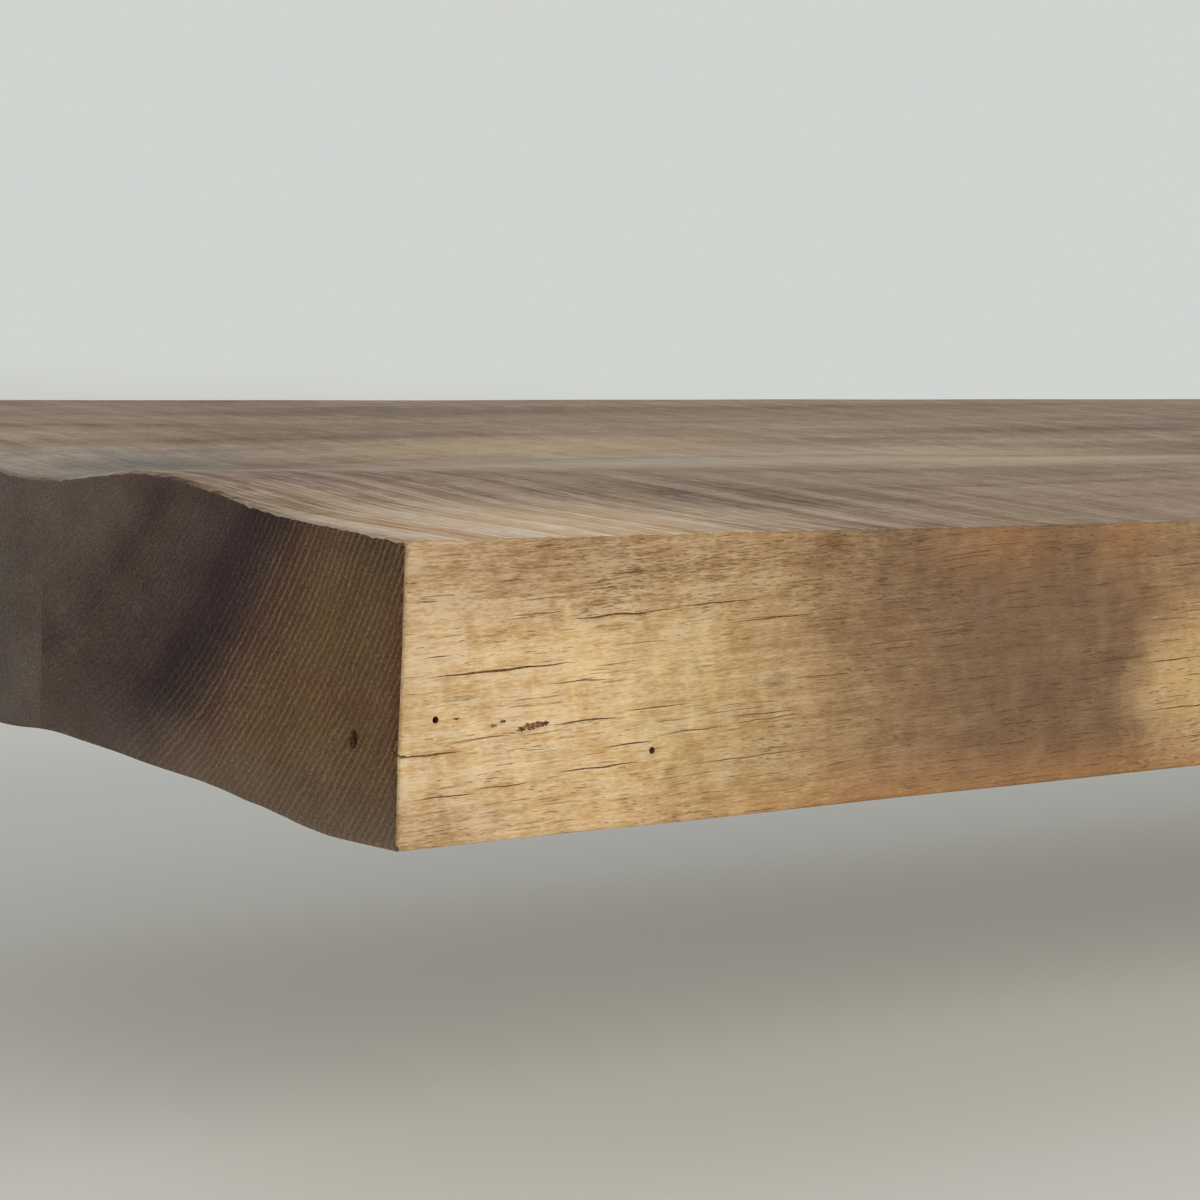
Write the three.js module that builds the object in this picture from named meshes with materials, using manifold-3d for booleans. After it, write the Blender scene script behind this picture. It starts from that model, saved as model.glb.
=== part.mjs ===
// A floating wall shelf: a thick board glued up from two hand-scraped hardwood staves. Its back edge
// hides a steel wall plate, and the plate's welded rods run deep into bores in the board and carry it.
// Millimetres. +Z is up, +X runs along the shelf, the wall is the plane y = 0 and the room lies at -Y.
// The origin is the centre of the wall plate's wall face, level with the rods.

import * as THREE from "three";
import { mergeVertices } from "three/addons/utils/BufferGeometryUtils.js";
import Module from "manifold-3d";

// Board
const shelfLength = 900;
const shelfDepth = 250;
const shelfThickness = 50;
const frontStaveWidth = 119;
const wallGap = 0.5;
const arrisRadius = 1.2;

// Scraped top: a crest along the front stave and a trough over the glue joint, deepest at the left end
const crestHeight = 2.4;
const crestFromFront = 75;
const crestReach = 44;
const troughDepth = 3.3;
const troughFromFront = 130;
const troughReach = 48;

// Underside: a belly behind the front edge and a low place just behind the glue joint
const bellyDepth = 1.5;
const bellyFromFront = 24;
const bellyReach = 34;
const jointDropDepth = 2.2;
const jointDropFromFront = 142;
const jointDropReach = 34;

// How the scraping changes along the board, as lengths and as shares of the heights above
const scrapeWavelength = 320;
const leftEndFadeLength = 80;
const steadyShare = 0.4;
const leftEndShare = 0.35;
const waveShare = 0.25;
const frontBow = 0.5;
const frontBowWavelength = 430;
const topEdgeDip = 1.2;
const undersideEdgeDip = 0.7;
const edgeDipWavelength = 390;
const edgeDipReach = 40;

// Wall plate
const plateFromBoardEnd = 40;
const plateHeight = 36;
const plateThickness = 6;
const plateCornerRadius = 4;
const recessPlay = 1;

// Rods
const rodRadius = 6;
const rodPastGlueJoint = 39.5;
const rodCount = 4;
const rodTipChamfer = 1.5;
const rodPlateClearance = 0.3;
const rodBoreClearance = 0.35;
const rodBoreEndPlay = 5;
const weldLeg = 3.5;
const weldClearance = 1;

// Wall screws and their plugs
const screwFromPlateEnd = 20;
const rodFromEndScrew = 30;
const screwRadius = 2.5;
const screwHeadRadius = 5;
const screwHeadLand = 0.4;
const screwHeadSink = 0.2;
const screwLength = 70;
const screwTipLength = 6;
const screwTipRadius = 0.4;
const screwHoleClearance = 0.3;
const crossRecessWidth = 1.1;
const crossRecessLength = 5;
const crossRecessDepth = 2;
const plugWall = 1.2;
const plugBarbDepth = 0.6;
const plugBarbPitch = 7;
const plugBarbCount = 5;
const plugCollarLength = 6;
const plugTailLength = 6;
const plugSlotWidth = 1.2;
const plugWallSink = 2.5;

// Locking screws: threaded inserts in the underside, with set screws that bear on the outer rods
const lockFromWall = 60;
const insertWall = 1.2;
const insertRidgeDepth = 0.7;
const insertRidgePitch = 3;
const insertRidgeCount = 3;
const insertFlangeWidth = 2;
const insertFlangeThickness = 1.2;
const insertClearance = 0.3;
const setScrewRadius = 3;
const setScrewSink = 2.7;
const setScrewThreadClearance = 0.3;
const setScrewTipClearance = 0.3;
const setScrewPointLength = 1.5;
const setScrewSocketRadius = 1.75;
const setScrewSocketDepth = 3.5;

// How far a cutter runs past the face that it cuts, and the smoothness of the facets
const overrun = 2;
const roundSegments = 24;
const smallRoundSegments = 16;
const cornerSegments = 5;
const hexSides = 6;
const lengthwiseSteps = 30;
const acrossSteps = 12;
const arrisSteps = 3;

// Places along the board, worked inward from its ends
const plateLength = shelfLength - 2 * plateFromBoardEnd;
const endScrewPlace = plateLength / 2 - screwFromPlateEnd;
const endRodPlace = endScrewPlace - rodFromEndScrew;
const rodSpacing = (2 * endRodPlace) / (rodCount - 1);
const rodPlaces = Array.from({ length: rodCount }, (_, i) => i * rodSpacing - endRodPlace);
const lockPlaces = [-endRodPlace, endRodPlace];

// Wall screws on the right half: halfway to the first rod, between each two rods, and near the plate's end
const rightRods = rodPlaces.filter((x) => x > 0);
const screwsBetweenRods = rightRods.map((x, i) => (x + (i === 0 ? 0 : rightRods[i - 1])) / 2);
const rightScrewPlaces = [...screwsBetweenRods, endScrewPlace];
const screwPlaces = [...rightScrewPlaces.map((x) => -x).reverse(), ...rightScrewPlaces];

// Sizes that follow from the ones above
const glueJointFromWall = wallGap + shelfDepth - frontStaveWidth;
const rodTip = glueJointFromWall + rodPastGlueJoint;
const screwHoleRadius = screwRadius + screwHoleClearance;
const plugRadius = screwHoleRadius + plugWall;
const plugLength = plugCollarLength + plugBarbPitch * plugBarbCount + plugTailLength;
const setScrewHoleRadius = setScrewRadius + setScrewThreadClearance;
const setScrewLength = shelfThickness / 2 - rodRadius - setScrewTipClearance - setScrewSink;
const insertRadius = setScrewHoleRadius + insertWall;
const insertFlangeRadius = insertRadius + insertFlangeWidth;
const insertLength = insertFlangeThickness + insertRidgePitch * insertRidgeCount;

const wasm = await Module();
wasm.setup();

const staveWood = new THREE.MeshStandardMaterial({ color: 0xb08f63, roughness: 0.6, metalness: 0 });
const rearStaveWood = new THREE.MeshStandardMaterial({ color: 0x9c7c58, roughness: 0.6, metalness: 0 });
const coatedSteel = new THREE.MeshStandardMaterial({ color: 0x25272a, roughness: 0.5, metalness: 0.3 });
const zincSteel = new THREE.MeshStandardMaterial({ color: 0xc4c2b6, roughness: 0.35, metalness: 1 });
const nylon = new THREE.MeshStandardMaterial({ color: 0xa9adb0, roughness: 0.55, metalness: 0 });
const brass = new THREE.MeshStandardMaterial({ color: 0xc9a552, roughness: 0.3, metalness: 1 });
const blackedSteel = new THREE.MeshStandardMaterial({ color: 0x1d1e20, roughness: 0.4, metalness: 0.8 });

// A closed geometry as a manifold solid, and back again.
function toSolid(geometry) {
  const bare = geometry.index ? geometry.toNonIndexed() : geometry.clone();
  bare.deleteAttribute("normal");
  bare.deleteAttribute("uv");
  const merged = mergeVertices(bare);
  return new wasm.Manifold(
    new wasm.Mesh({
      numProp: 3,
      vertProperties: merged.attributes.position.array,
      triVerts: new Uint32Array(merged.index.array),
    }),
  );
}

function toGeometry(solid) {
  const { numProp, vertProperties, triVerts } = solid.getMesh();
  const corners = new Float32Array((vertProperties.length / numProp) * 3);
  for (let i = 0; i < corners.length / 3; i++) {
    corners.set(vertProperties.subarray(i * numProp, i * numProp + 3), i * 3);
  }
  const indexed = new THREE.BufferGeometry();
  indexed.setAttribute("position", new THREE.BufferAttribute(corners, 3));
  indexed.setIndex(new THREE.BufferAttribute(triVerts, 1));
  const geometry = indexed.toNonIndexed();
  geometry.computeVertexNormals();
  return geometry;
}

function cut(geometry, cutters) {
  return toGeometry(cutters.reduce((left, cutter) => left.subtract(toSolid(cutter)), toSolid(geometry)));
}

// A solid turned about the Y axis from a profile of [radius, distance] points.
function turned(profile, segments) {
  const points = profile.map(([radius, along]) => new THREE.Vector2(radius, along));
  return new THREE.LatheGeometry(points, segments);
}

function ring(innerRadius, outerProfile, segments) {
  const [, start] = outerProfile[0];
  const [, end] = outerProfile[outerProfile.length - 1];
  return turned([[innerRadius, start], ...outerProfile, [innerRadius, end], [innerRadius, start]], segments);
}

// A plain round cutter along Y, from one distance to another.
function roundCutter(radius, from, to, segments) {
  return turned([[0, from], [radius, from], [radius, to], [0, to]], segments);
}

function roundedRectangle(length, height, radius) {
  const x = length / 2;
  const z = height / 2;
  const shape = new THREE.Shape();
  shape.moveTo(-x + radius, -z);
  shape.lineTo(x - radius, -z);
  shape.absarc(x - radius, -z + radius, radius, -Math.PI / 2, 0, false);
  shape.lineTo(x, z - radius);
  shape.absarc(x - radius, z - radius, radius, 0, Math.PI / 2, false);
  shape.lineTo(-x + radius, z);
  shape.absarc(-x + radius, z - radius, radius, Math.PI / 2, Math.PI, false);
  shape.lineTo(-x, -z + radius);
  shape.absarc(-x + radius, -z + radius, radius, Math.PI, 1.5 * Math.PI, false);
  return shape;
}

// A flat shape drawn in X and Z, made as thick as given, with its back face at y = back.
function slab(shape, thickness, back) {
  return new THREE.ExtrudeGeometry(shape, {
    depth: thickness,
    bevelEnabled: false,
    curveSegments: cornerSegments,
  })
    .rotateX(Math.PI / 2)
    .translate(0, back, 0);
}

// The scraped faces of the board

// A smooth rise of height 1 that falls to nothing at its reach on both sides of its centre.
function swell(place, centre, reach) {
  const offset = Math.abs(place - centre) / reach;
  return offset < 1 ? (1 + Math.cos(Math.PI * offset)) / 2 : 0;
}

// The share of the full crest and trough at a distance from the left end.
function scrapeShareAt(fromLeft) {
  const wave = Math.cos((2 * Math.PI * fromLeft) / scrapeWavelength);
  return steadyShare + leftEndShare * Math.exp(-fromLeft / leftEndFadeLength) + waveShare * wave;
}

// The share of the front edge's dips, which come and go along the board and fade away behind the edge.
function edgeDipShareAt(fromLeft, fromFront) {
  const wave = (1 - Math.cos((2 * Math.PI * fromLeft) / edgeDipWavelength)) / 2;
  return wave * swell(fromFront, 0, edgeDipReach);
}

function topAt(fromLeft, fromFront) {
  const crest = crestHeight * swell(fromFront, crestFromFront, crestReach);
  const trough = troughDepth * swell(fromFront, troughFromFront, troughReach);
  const dip = topEdgeDip * edgeDipShareAt(fromLeft, fromFront);
  return shelfThickness / 2 + (crest - trough) * scrapeShareAt(fromLeft) - dip;
}

function undersideAt(fromLeft, fromFront) {
  const belly = bellyDepth * swell(fromFront, bellyFromFront, bellyReach);
  const drop = jointDropDepth * swell(fromFront, jointDropFromFront, jointDropReach);
  const dip = undersideEdgeDip * edgeDipShareAt(fromLeft, fromFront);
  return -shelfThickness / 2 - (belly + drop) * scrapeShareAt(fromLeft) + dip;
}

function frontBowAt(fromLeft) {
  return (frontBow * (1 - Math.cos((2 * Math.PI * fromLeft) / frontBowWavelength))) / 2;
}

const quarterTurns = Array.from({ length: arrisSteps }, (_, i) => (Math.PI / 2) * ((i + 1) / arrisSteps));

// The quarter round that leaves a face at (y, z). Each sign says which way it runs from there.
function easedEdge(y, z, signAcross, signUp) {
  return quarterTurns.map((turn) => [
    y + signAcross * arrisRadius * Math.sin(turn),
    z + signUp * arrisRadius * (1 - Math.cos(turn)),
  ]);
}

// A stave's section at a distance from the left end, as [y, z] points round it, drawn in by inset.
// Only the board's own front and back edges are eased: the glue joint is square, and flush on both sides.
function staveSection(fromLeft, staveFront, staveBack, inset) {
  const atFront = staveFront === 0;
  const atBack = staveBack === shelfDepth;
  const start = atFront ? inset + frontBowAt(fromLeft) + arrisRadius : staveFront;
  const end = atBack ? shelfDepth - inset - arrisRadius : staveBack;
  const top = (fromFront) => topAt(fromLeft, fromFront) - inset;
  const underside = (fromFront) => undersideAt(fromLeft, fromFront) + inset;
  const across = Array.from({ length: acrossSteps + 1 }, (_, i) => start + ((end - start) * i) / acrossSteps);
  const points = across.map((fromFront) => [fromFront, underside(fromFront)]);
  if (atBack) {
    const upperEdge = easedEdge(end, top(end), 1, -1).reverse();
    points.push(...easedEdge(end, underside(end), 1, 1), ...upperEdge);
  }
  points.push(...across.reverse().map((fromFront) => [fromFront, top(fromFront)]));
  if (atFront) {
    const lowerEdge = easedEdge(start, underside(start), -1, 1).reverse();
    points.push(...easedEdge(start, top(start), -1, -1), ...lowerEdge);
  }
  return points.map(([fromFront, z]) => [fromFront - shelfDepth - wallGap, z]);
}

// The places of a stave's sections, as [distance from the left end, inset], closer at the eased ends.
function staveStations() {
  const leftEnd = [0, ...quarterTurns].map((turn) => [
    arrisRadius * (1 - Math.cos(turn)),
    arrisRadius * (1 - Math.sin(turn)),
  ]);
  const plainLength = shelfLength - 2 * arrisRadius;
  const middle = [];
  for (let i = 1; i < lengthwiseSteps; i++) {
    middle.push([arrisRadius + (plainLength * i) / lengthwiseSteps, 0]);
  }
  const rightEnd = leftEnd.map(([fromLeft, inset]) => [shelfLength - fromLeft, inset]).reverse();
  return [...leftEnd, ...middle, ...rightEnd];
}

// A stave lofted along the board through its sections.
function stave(staveFront, staveBack) {
  const stations = staveStations();
  const sections = stations.map(([fromLeft, inset]) => staveSection(fromLeft, staveFront, staveBack, inset));
  const count = sections[0].length;
  const corners = [];
  stations.forEach(([fromLeft], i) => {
    sections[i].forEach(([y, z]) => corners.push(fromLeft - shelfLength / 2, y, z));
  });
  const faces = [];
  for (let i = 0; i + 1 < stations.length; i++) {
    for (let j = 0; j < count; j++) {
      const here = i * count + j;
      const beside = i * count + ((j + 1) % count);
      faces.push(here, beside, here + count, beside, beside + count, here + count);
    }
  }
  const endCap = (station) => {
    const outline = sections[station].map(([y, z]) => new THREE.Vector2(y, z));
    return THREE.ShapeUtils.triangulateShape(outline, []).map((face) => face.map((j) => station * count + j));
  };
  endCap(0).forEach(([a, b, c]) => faces.push(a, c, b));
  endCap(stations.length - 1).forEach(([a, b, c]) => faces.push(a, b, c));
  const geometry = new THREE.BufferGeometry();
  geometry.setAttribute("position", new THREE.Float32BufferAttribute(corners, 3));
  geometry.setIndex(faces);
  return geometry;
}

// Cutters that make the board's room for its bracket

function plateRecess() {
  const length = plateLength + 2 * recessPlay;
  const height = plateHeight + 2 * recessPlay;
  const mouth = roundedRectangle(length, height, plateCornerRadius + recessPlay);
  return slab(mouth, plateThickness + recessPlay + overrun, overrun);
}

// A rod's bore, with a wider mouth that clears the weld at the rod's foot.
function rodBore(x) {
  const boreRadius = rodRadius + rodBoreClearance;
  const mouthRadius = rodRadius + weldLeg + weldClearance;
  const mouthEnd = plateThickness + weldLeg + weldClearance;
  const boreEnd = rodTip + rodBoreEndPlay;
  const profile = [[0, 0], [mouthRadius, 0], [mouthRadius, mouthEnd]];
  profile.push([boreRadius, mouthEnd], [boreRadius, boreEnd], [0, boreEnd]);
  return turned(profile, roundSegments).rotateX(Math.PI).translate(x, 0, 0);
}

// The insert's bore in the underside: a seat for its flange, room for its body, and a way up to the rod.
function insertBore(x) {
  const seatRadius = insertFlangeRadius + insertClearance;
  const seatEnd = insertFlangeThickness + insertClearance;
  const bodyRadius = insertRadius + insertClearance;
  const bodyEnd = insertLength + insertClearance;
  const rodAxis = shelfThickness / 2;
  const profile = [[0, -overrun], [seatRadius, -overrun], [seatRadius, seatEnd]];
  profile.push([bodyRadius, seatEnd], [bodyRadius, bodyEnd], [setScrewHoleRadius, bodyEnd]);
  profile.push([setScrewHoleRadius, rodAxis], [0, rodAxis]);
  return turned(profile, smallRoundSegments)
    .rotateX(Math.PI / 2)
    .translate(x, -lockFromWall, -shelfThickness / 2);
}

function frontStave() {
  return cut(stave(0, frontStaveWidth), rodPlaces.map(rodBore));
}

function rearStave() {
  const cutters = [plateRecess(), ...rodPlaces.map(rodBore), ...lockPlaces.map(insertBore)];
  return cut(stave(frontStaveWidth, shelfDepth), cutters);
}

// Bracket

// The screw's hole through the plate, opened into a countersink that its head sits flush in.
function screwHole(x) {
  const mouthRadius = screwHeadRadius + screwHoleClearance;
  const seatStart = screwHeadSink + screwHeadLand;
  const seatEnd = seatStart + mouthRadius - screwHoleRadius;
  const far = plateThickness + overrun;
  const profile = [[0, -overrun], [mouthRadius, -overrun], [mouthRadius, seatStart]];
  profile.push([screwHoleRadius, seatEnd], [screwHoleRadius, far], [0, far]);
  return turned(profile, smallRoundSegments).translate(x, -plateThickness, 0);
}

function wallPlate() {
  const bar = slab(roundedRectangle(plateLength, plateHeight, plateCornerRadius), plateThickness, 0);
  const holeRadius = rodRadius + rodPlateClearance;
  const rodHoles = rodPlaces.map((x) =>
    roundCutter(holeRadius, -plateThickness - overrun, overrun, roundSegments).translate(x, 0, 0),
  );
  return cut(bar, [...rodHoles, ...screwPlaces.map(screwHole)]);
}

// A rod that passes through the plate, flush with its wall face, with the weld bead round its foot.
function supportRod() {
  const profile = [[0, 0], [rodRadius, 0], [rodRadius, plateThickness]];
  [0, ...quarterTurns].forEach((turn) => {
    profile.push([rodRadius + weldLeg * Math.cos(turn), plateThickness + weldLeg * Math.sin(turn)]);
  });
  profile.push([rodRadius, rodTip - rodTipChamfer], [rodRadius - rodTipChamfer, rodTip], [0, rodTip]);
  return turned(profile, roundSegments).rotateX(Math.PI);
}

function wallScrew() {
  const neck = screwHeadLand + screwHeadRadius - screwRadius;
  const profile = [[0, 0], [screwHeadRadius, 0], [screwHeadRadius, screwHeadLand], [screwRadius, neck]];
  profile.push([screwRadius, screwLength - screwTipLength], [screwTipRadius, screwLength], [0, screwLength]);
  const blank = turned(profile, smallRoundSegments);
  const slots = [
    new THREE.BoxGeometry(crossRecessLength, 2 * crossRecessDepth, crossRecessWidth),
    new THREE.BoxGeometry(crossRecessWidth, 2 * crossRecessDepth, crossRecessLength),
  ];
  return cut(blank, slots);
}

// A barbed sleeve with a plain mouth and a slot that lets its tail spread.
function wallPlug() {
  const waist = plugRadius - plugBarbDepth;
  const profile = [[plugRadius, 0], [plugRadius, plugCollarLength]];
  for (let i = 0; i < plugBarbCount; i++) {
    const start = plugCollarLength + i * plugBarbPitch;
    profile.push([waist, start], [plugRadius, start + plugBarbPitch]);
  }
  profile.push([waist, plugLength]);
  const sleeve = ring(screwHoleRadius, profile, smallRoundSegments);
  const slotLength = plugLength - plugCollarLength - plugBarbPitch;
  const slot = new THREE.BoxGeometry(plugSlotWidth, slotLength, 2 * (plugRadius + overrun));
  slot.translate(0, plugLength - slotLength / 2 + overrun, 0);
  return cut(sleeve, [slot]);
}

// Lock fittings, with distance along Y measured up from the underside of the board

function threadedInsert() {
  const waist = insertRadius - insertRidgeDepth;
  const profile = [[insertFlangeRadius, 0], [insertFlangeRadius, insertFlangeThickness]];
  for (let i = 0; i < insertRidgeCount; i++) {
    const start = insertFlangeThickness + i * insertRidgePitch;
    profile.push([waist, start], [insertRadius, start + insertRidgePitch / 2]);
  }
  profile.push([waist, insertLength]);
  return ring(setScrewHoleRadius, profile, smallRoundSegments);
}

function setScrew() {
  const profile = [[0, 0], [setScrewRadius, 0], [setScrewRadius, setScrewLength - setScrewPointLength]];
  profile.push([setScrewRadius - setScrewPointLength, setScrewLength], [0, setScrewLength]);
  const socket = new THREE.CylinderGeometry(
    setScrewSocketRadius,
    setScrewSocketRadius,
    2 * setScrewSocketDepth,
    hexSides,
  );
  return cut(turned(profile, smallRoundSegments), [socket]);
}

// Assembly

const shelf = new THREE.Group();

function add(name, geometry, material, x, y, z) {
  const mesh = new THREE.Mesh(geometry, material);
  mesh.name = name;
  mesh.position.set(x, y, z);
  shelf.add(mesh);
  return mesh;
}

add("front_stave", frontStave(), staveWood, 0, 0, 0);
add("rear_stave", rearStave(), rearStaveWood, 0, 0, 0);
add("wall_plate", wallPlate(), coatedSteel, 0, 0, 0);

rodPlaces.forEach((x, i) => add(`support_rod_${i + 1}`, supportRod(), coatedSteel, x, 0, 0));

screwPlaces.forEach((x, i) => {
  add(`wall_screw_${i + 1}`, wallScrew(), zincSteel, x, screwHeadSink - plateThickness, 0);
  add(`wall_plug_${i + 1}`, wallPlug(), nylon, x, plugWallSink, 0);
});

const underside = -shelfThickness / 2;
const setScrewFoot = -rodRadius - setScrewTipClearance - setScrewLength;
lockPlaces.forEach((x, i) => {
  const side = i === 0 ? "left" : "right";
  const insert = add(`lock_insert_${side}`, threadedInsert(), brass, x, -lockFromWall, underside);
  const screw = add(`lock_screw_${side}`, setScrew(), blackedSteel, x, -lockFromWall, setScrewFoot);
  insert.rotation.x = Math.PI / 2;
  screw.rotation.x = Math.PI / 2;
});

export default shelf;
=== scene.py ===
"""A floating wall shelf: two hand-scraped, oiled hardwood staves on a hidden black steel bracket.

The lengths below are in millimetres, and each piece is turned to metres when it is finished. Along is
the distance from the shelf's left end, and depth the distance back from its front face.
"""

import math
import random

import bmesh
import bpy
from mathutils import Matrix, Vector, noise


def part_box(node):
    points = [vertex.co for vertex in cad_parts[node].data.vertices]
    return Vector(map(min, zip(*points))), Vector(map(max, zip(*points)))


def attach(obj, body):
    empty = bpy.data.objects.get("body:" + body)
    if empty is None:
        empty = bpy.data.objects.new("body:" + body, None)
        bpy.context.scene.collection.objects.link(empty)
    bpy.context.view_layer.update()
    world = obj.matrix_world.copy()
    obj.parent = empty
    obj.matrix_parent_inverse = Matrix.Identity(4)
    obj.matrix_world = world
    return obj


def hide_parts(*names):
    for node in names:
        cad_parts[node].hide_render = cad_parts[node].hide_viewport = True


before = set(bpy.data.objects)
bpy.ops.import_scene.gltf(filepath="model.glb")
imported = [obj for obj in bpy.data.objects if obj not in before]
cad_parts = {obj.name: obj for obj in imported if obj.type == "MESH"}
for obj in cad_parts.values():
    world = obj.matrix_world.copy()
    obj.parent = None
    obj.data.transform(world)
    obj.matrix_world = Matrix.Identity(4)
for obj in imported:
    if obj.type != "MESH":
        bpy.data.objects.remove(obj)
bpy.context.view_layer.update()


def reach_of(node, axis):
    """How far a CAD piece reaches along an axis, from and to."""
    return [round(1000 * corner[axis], 2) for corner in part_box(node)]


def place_of(node, axis):
    """The middle of a CAD piece along an axis."""
    return sum(reach_of(node, axis)) / 2


# The board, as the CAD has it
LENGTH = 900
DEPTH = 250
THICKNESS = 50
GLUE_JOINT = 119
WALL_GAP = 0.5
EASED = 0.7

# The bracket and the fittings, where the CAD has them
PLATE_LENGTH = 2 * reach_of("wall_plate", 0)[1]
PLATE_HEIGHT = 2 * reach_of("wall_plate", 2)[1]
PLATE = -reach_of("wall_plate", 1)[0]
ROD = 6
ROD_TIP = -reach_of("support_rod_1", 1)[0]
ROD_PLACES = [place_of(f"support_rod_{i}", 0) for i in range(1, 5)]
SCREW_HEAD, SCREW_TIP = reach_of("wall_screw_1", 1)
SCREW_PLACES = [place_of(f"wall_screw_{i}", 0) for i in range(1, 7)]
PLUG_MOUTH, PLUG_TAIL = reach_of("wall_plug_1", 1)
LOCK_FROM_WALL = -place_of("lock_insert_left", 1)
LOCK_PLACES = [place_of(f"lock_insert_{side}", 0) for side in ("left", "right")]
LOCK_HEAD, LOCK_TOP = reach_of("lock_screw_left", 2)
INSERT_TOP = reach_of("lock_insert_left", 2)[1]

# How far a cutter reaches past the face that it cuts
PAST = 2

# Finish slots of a stave, in the order that its mesh holds them
EDGE, FACE, END, BORED, HOLLOW = range(5)


# Camera, as the photograph was taken: close to the front left corner, a little above the top

camera = bpy.data.objects.new("camera", bpy.data.cameras.new("camera"))
bpy.context.collection.objects.link(camera)
camera.data.sensor_width = 36
camera.data.lens = 98.84
camera.data.clip_start = 0.01
camera.data.clip_end = 100
camera.matrix_world = (
    Matrix.Translation((-0.73851, -0.67279, 0.08388))
    @ Matrix.Rotation(math.radians(-37.785), 4, "Z")
    @ Matrix.Rotation(math.radians(90 - 7.461), 4, "X")
    @ Matrix.Rotation(math.radians(3.031), 4, "Z")
)
bpy.context.scene.camera = camera


# Colours and nodes


def colour(code):
    """The linear colour of an sRGB hex code."""
    shares = [int(code[i : i + 2], 16) / 255 for i in (0, 2, 4)]
    return (*(s / 12.92 if s <= 0.04045 else ((s + 0.055) / 1.055) ** 2.4 for s in shares), 1)


def add(tree, kind, inputs=None, out=0, stops=(), **settings):
    """Adds a node with its settings, its ramp's stops and its inputs, which are linked if they are sockets.

    It gives back one of the node's outputs."""
    made = tree.nodes.new("ShaderNode" + kind)
    for name, value in settings.items():
        setattr(made, name, value)
    for name, value in (inputs or {}).items():
        if isinstance(value, bpy.types.NodeSocket):
            tree.links.new(value, made.inputs[name])
        else:
            made.inputs[name].default_value = value
    for i, (place, code) in enumerate(stops):
        element = made.color_ramp.elements[i] if i < 2 else made.color_ramp.elements.new(1)
        element.position = place
        element.color = colour(code)
    return made.outputs[out] if made.outputs else None


def start_material(name):
    """A material with its surface shader, and the point on the object in millimetres."""
    material = bpy.data.materials.new(name)
    material.use_nodes = True
    tree = material.node_tree
    tree.nodes.clear()
    surface = add(tree, "BsdfPrincipled")
    add(tree, "OutputMaterial", {"Surface": surface})
    place = add(tree, "TexCoord", out="Object")
    point = add(tree, "VectorMath", {0: place, "Scale": 1000}, operation="SCALE")
    return material, tree, surface.node, point


def cover(tree, shader, tone, rough, relief=0.0, height=None):
    """Gives a surface its colour and roughness, and the relief in metres of its height."""
    tree.links.new(tone, shader.inputs["Base Color"])
    tree.links.new(rough, shader.inputs["Roughness"])
    if height:
        tree.links.new(add(tree, "Bump", {"Distance": relief, "Height": height}), shader.inputs["Normal"])


# Wood

# The fibres rise by this much towards the right on the front edge, and run a little askew on the top.
FIBRE_RISE = (0, math.radians(-2.3), math.radians(0.6))
# The scraper went across the top at this slant, and left crests that lie this far apart along the board.
SCRAPER_WAY = (1, 0.165, 0)
SCRAPER_SLANT = (0, 0, math.atan(SCRAPER_WAY[1]))
CREST_SPACING = 21
FIRST_CREST = 4
CREST_PHASE = (LENGTH / 2 + SCRAPER_WAY[1] * (DEPTH + WALL_GAP) - FIRST_CREST - 4) / CREST_SPACING


def grain(tree, point, size, detail=2, turn=(0, 0, 0), distortion=0.0):
    """Marks of the given size in millimetres, from 0 to 1 with most of them near a half."""
    place = add(tree, "Mapping", {"Vector": point, "Rotation": turn, "Scale": size}, vector_type="TEXTURE")
    return add(tree, "TexNoise", {"Vector": place, "Scale": 1, "Detail": detail, "Distortion": distortion})


def stain(tree, point, centre, reach, strength=1.0):
    """An oval patch with a soft edge, which goes right through the wood in a direction whose reach is 0."""
    shares = [1 / r if r else 0 for r in reach]
    offset = add(tree, "VectorMath", {0: point, 1: centre}, operation="SUBTRACT")
    scaled = add(tree, "VectorMath", {0: offset, 1: shares}, operation="MULTIPLY")
    distance = add(tree, "VectorMath", {0: scaled}, "Value", operation="LENGTH")
    return add(tree, "MapRange", {0: distance, 1: 1, 2: 0, 4: strength}, interpolation_type="SMOOTHSTEP")


def wandering(tree, point, reach, amount):
    """The point moved across the grain by slow waves, so that fibres and rings aren't ruled lines."""
    place = add(tree, "VectorMath", {0: point, "Scale": 1 / reach}, operation="SCALE")
    waves = add(tree, "TexNoise", {"Vector": place, "Scale": 1, "Detail": 2}, "Color")
    centred = add(tree, "VectorMath", {0: waves, 1: (0.5, 0.5, 0.5)}, operation="SUBTRACT")
    return add(tree, "VectorMath", {0: centred, 1: (0, amount, amount), 2: point}, operation="MULTIPLY_ADD")


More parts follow.
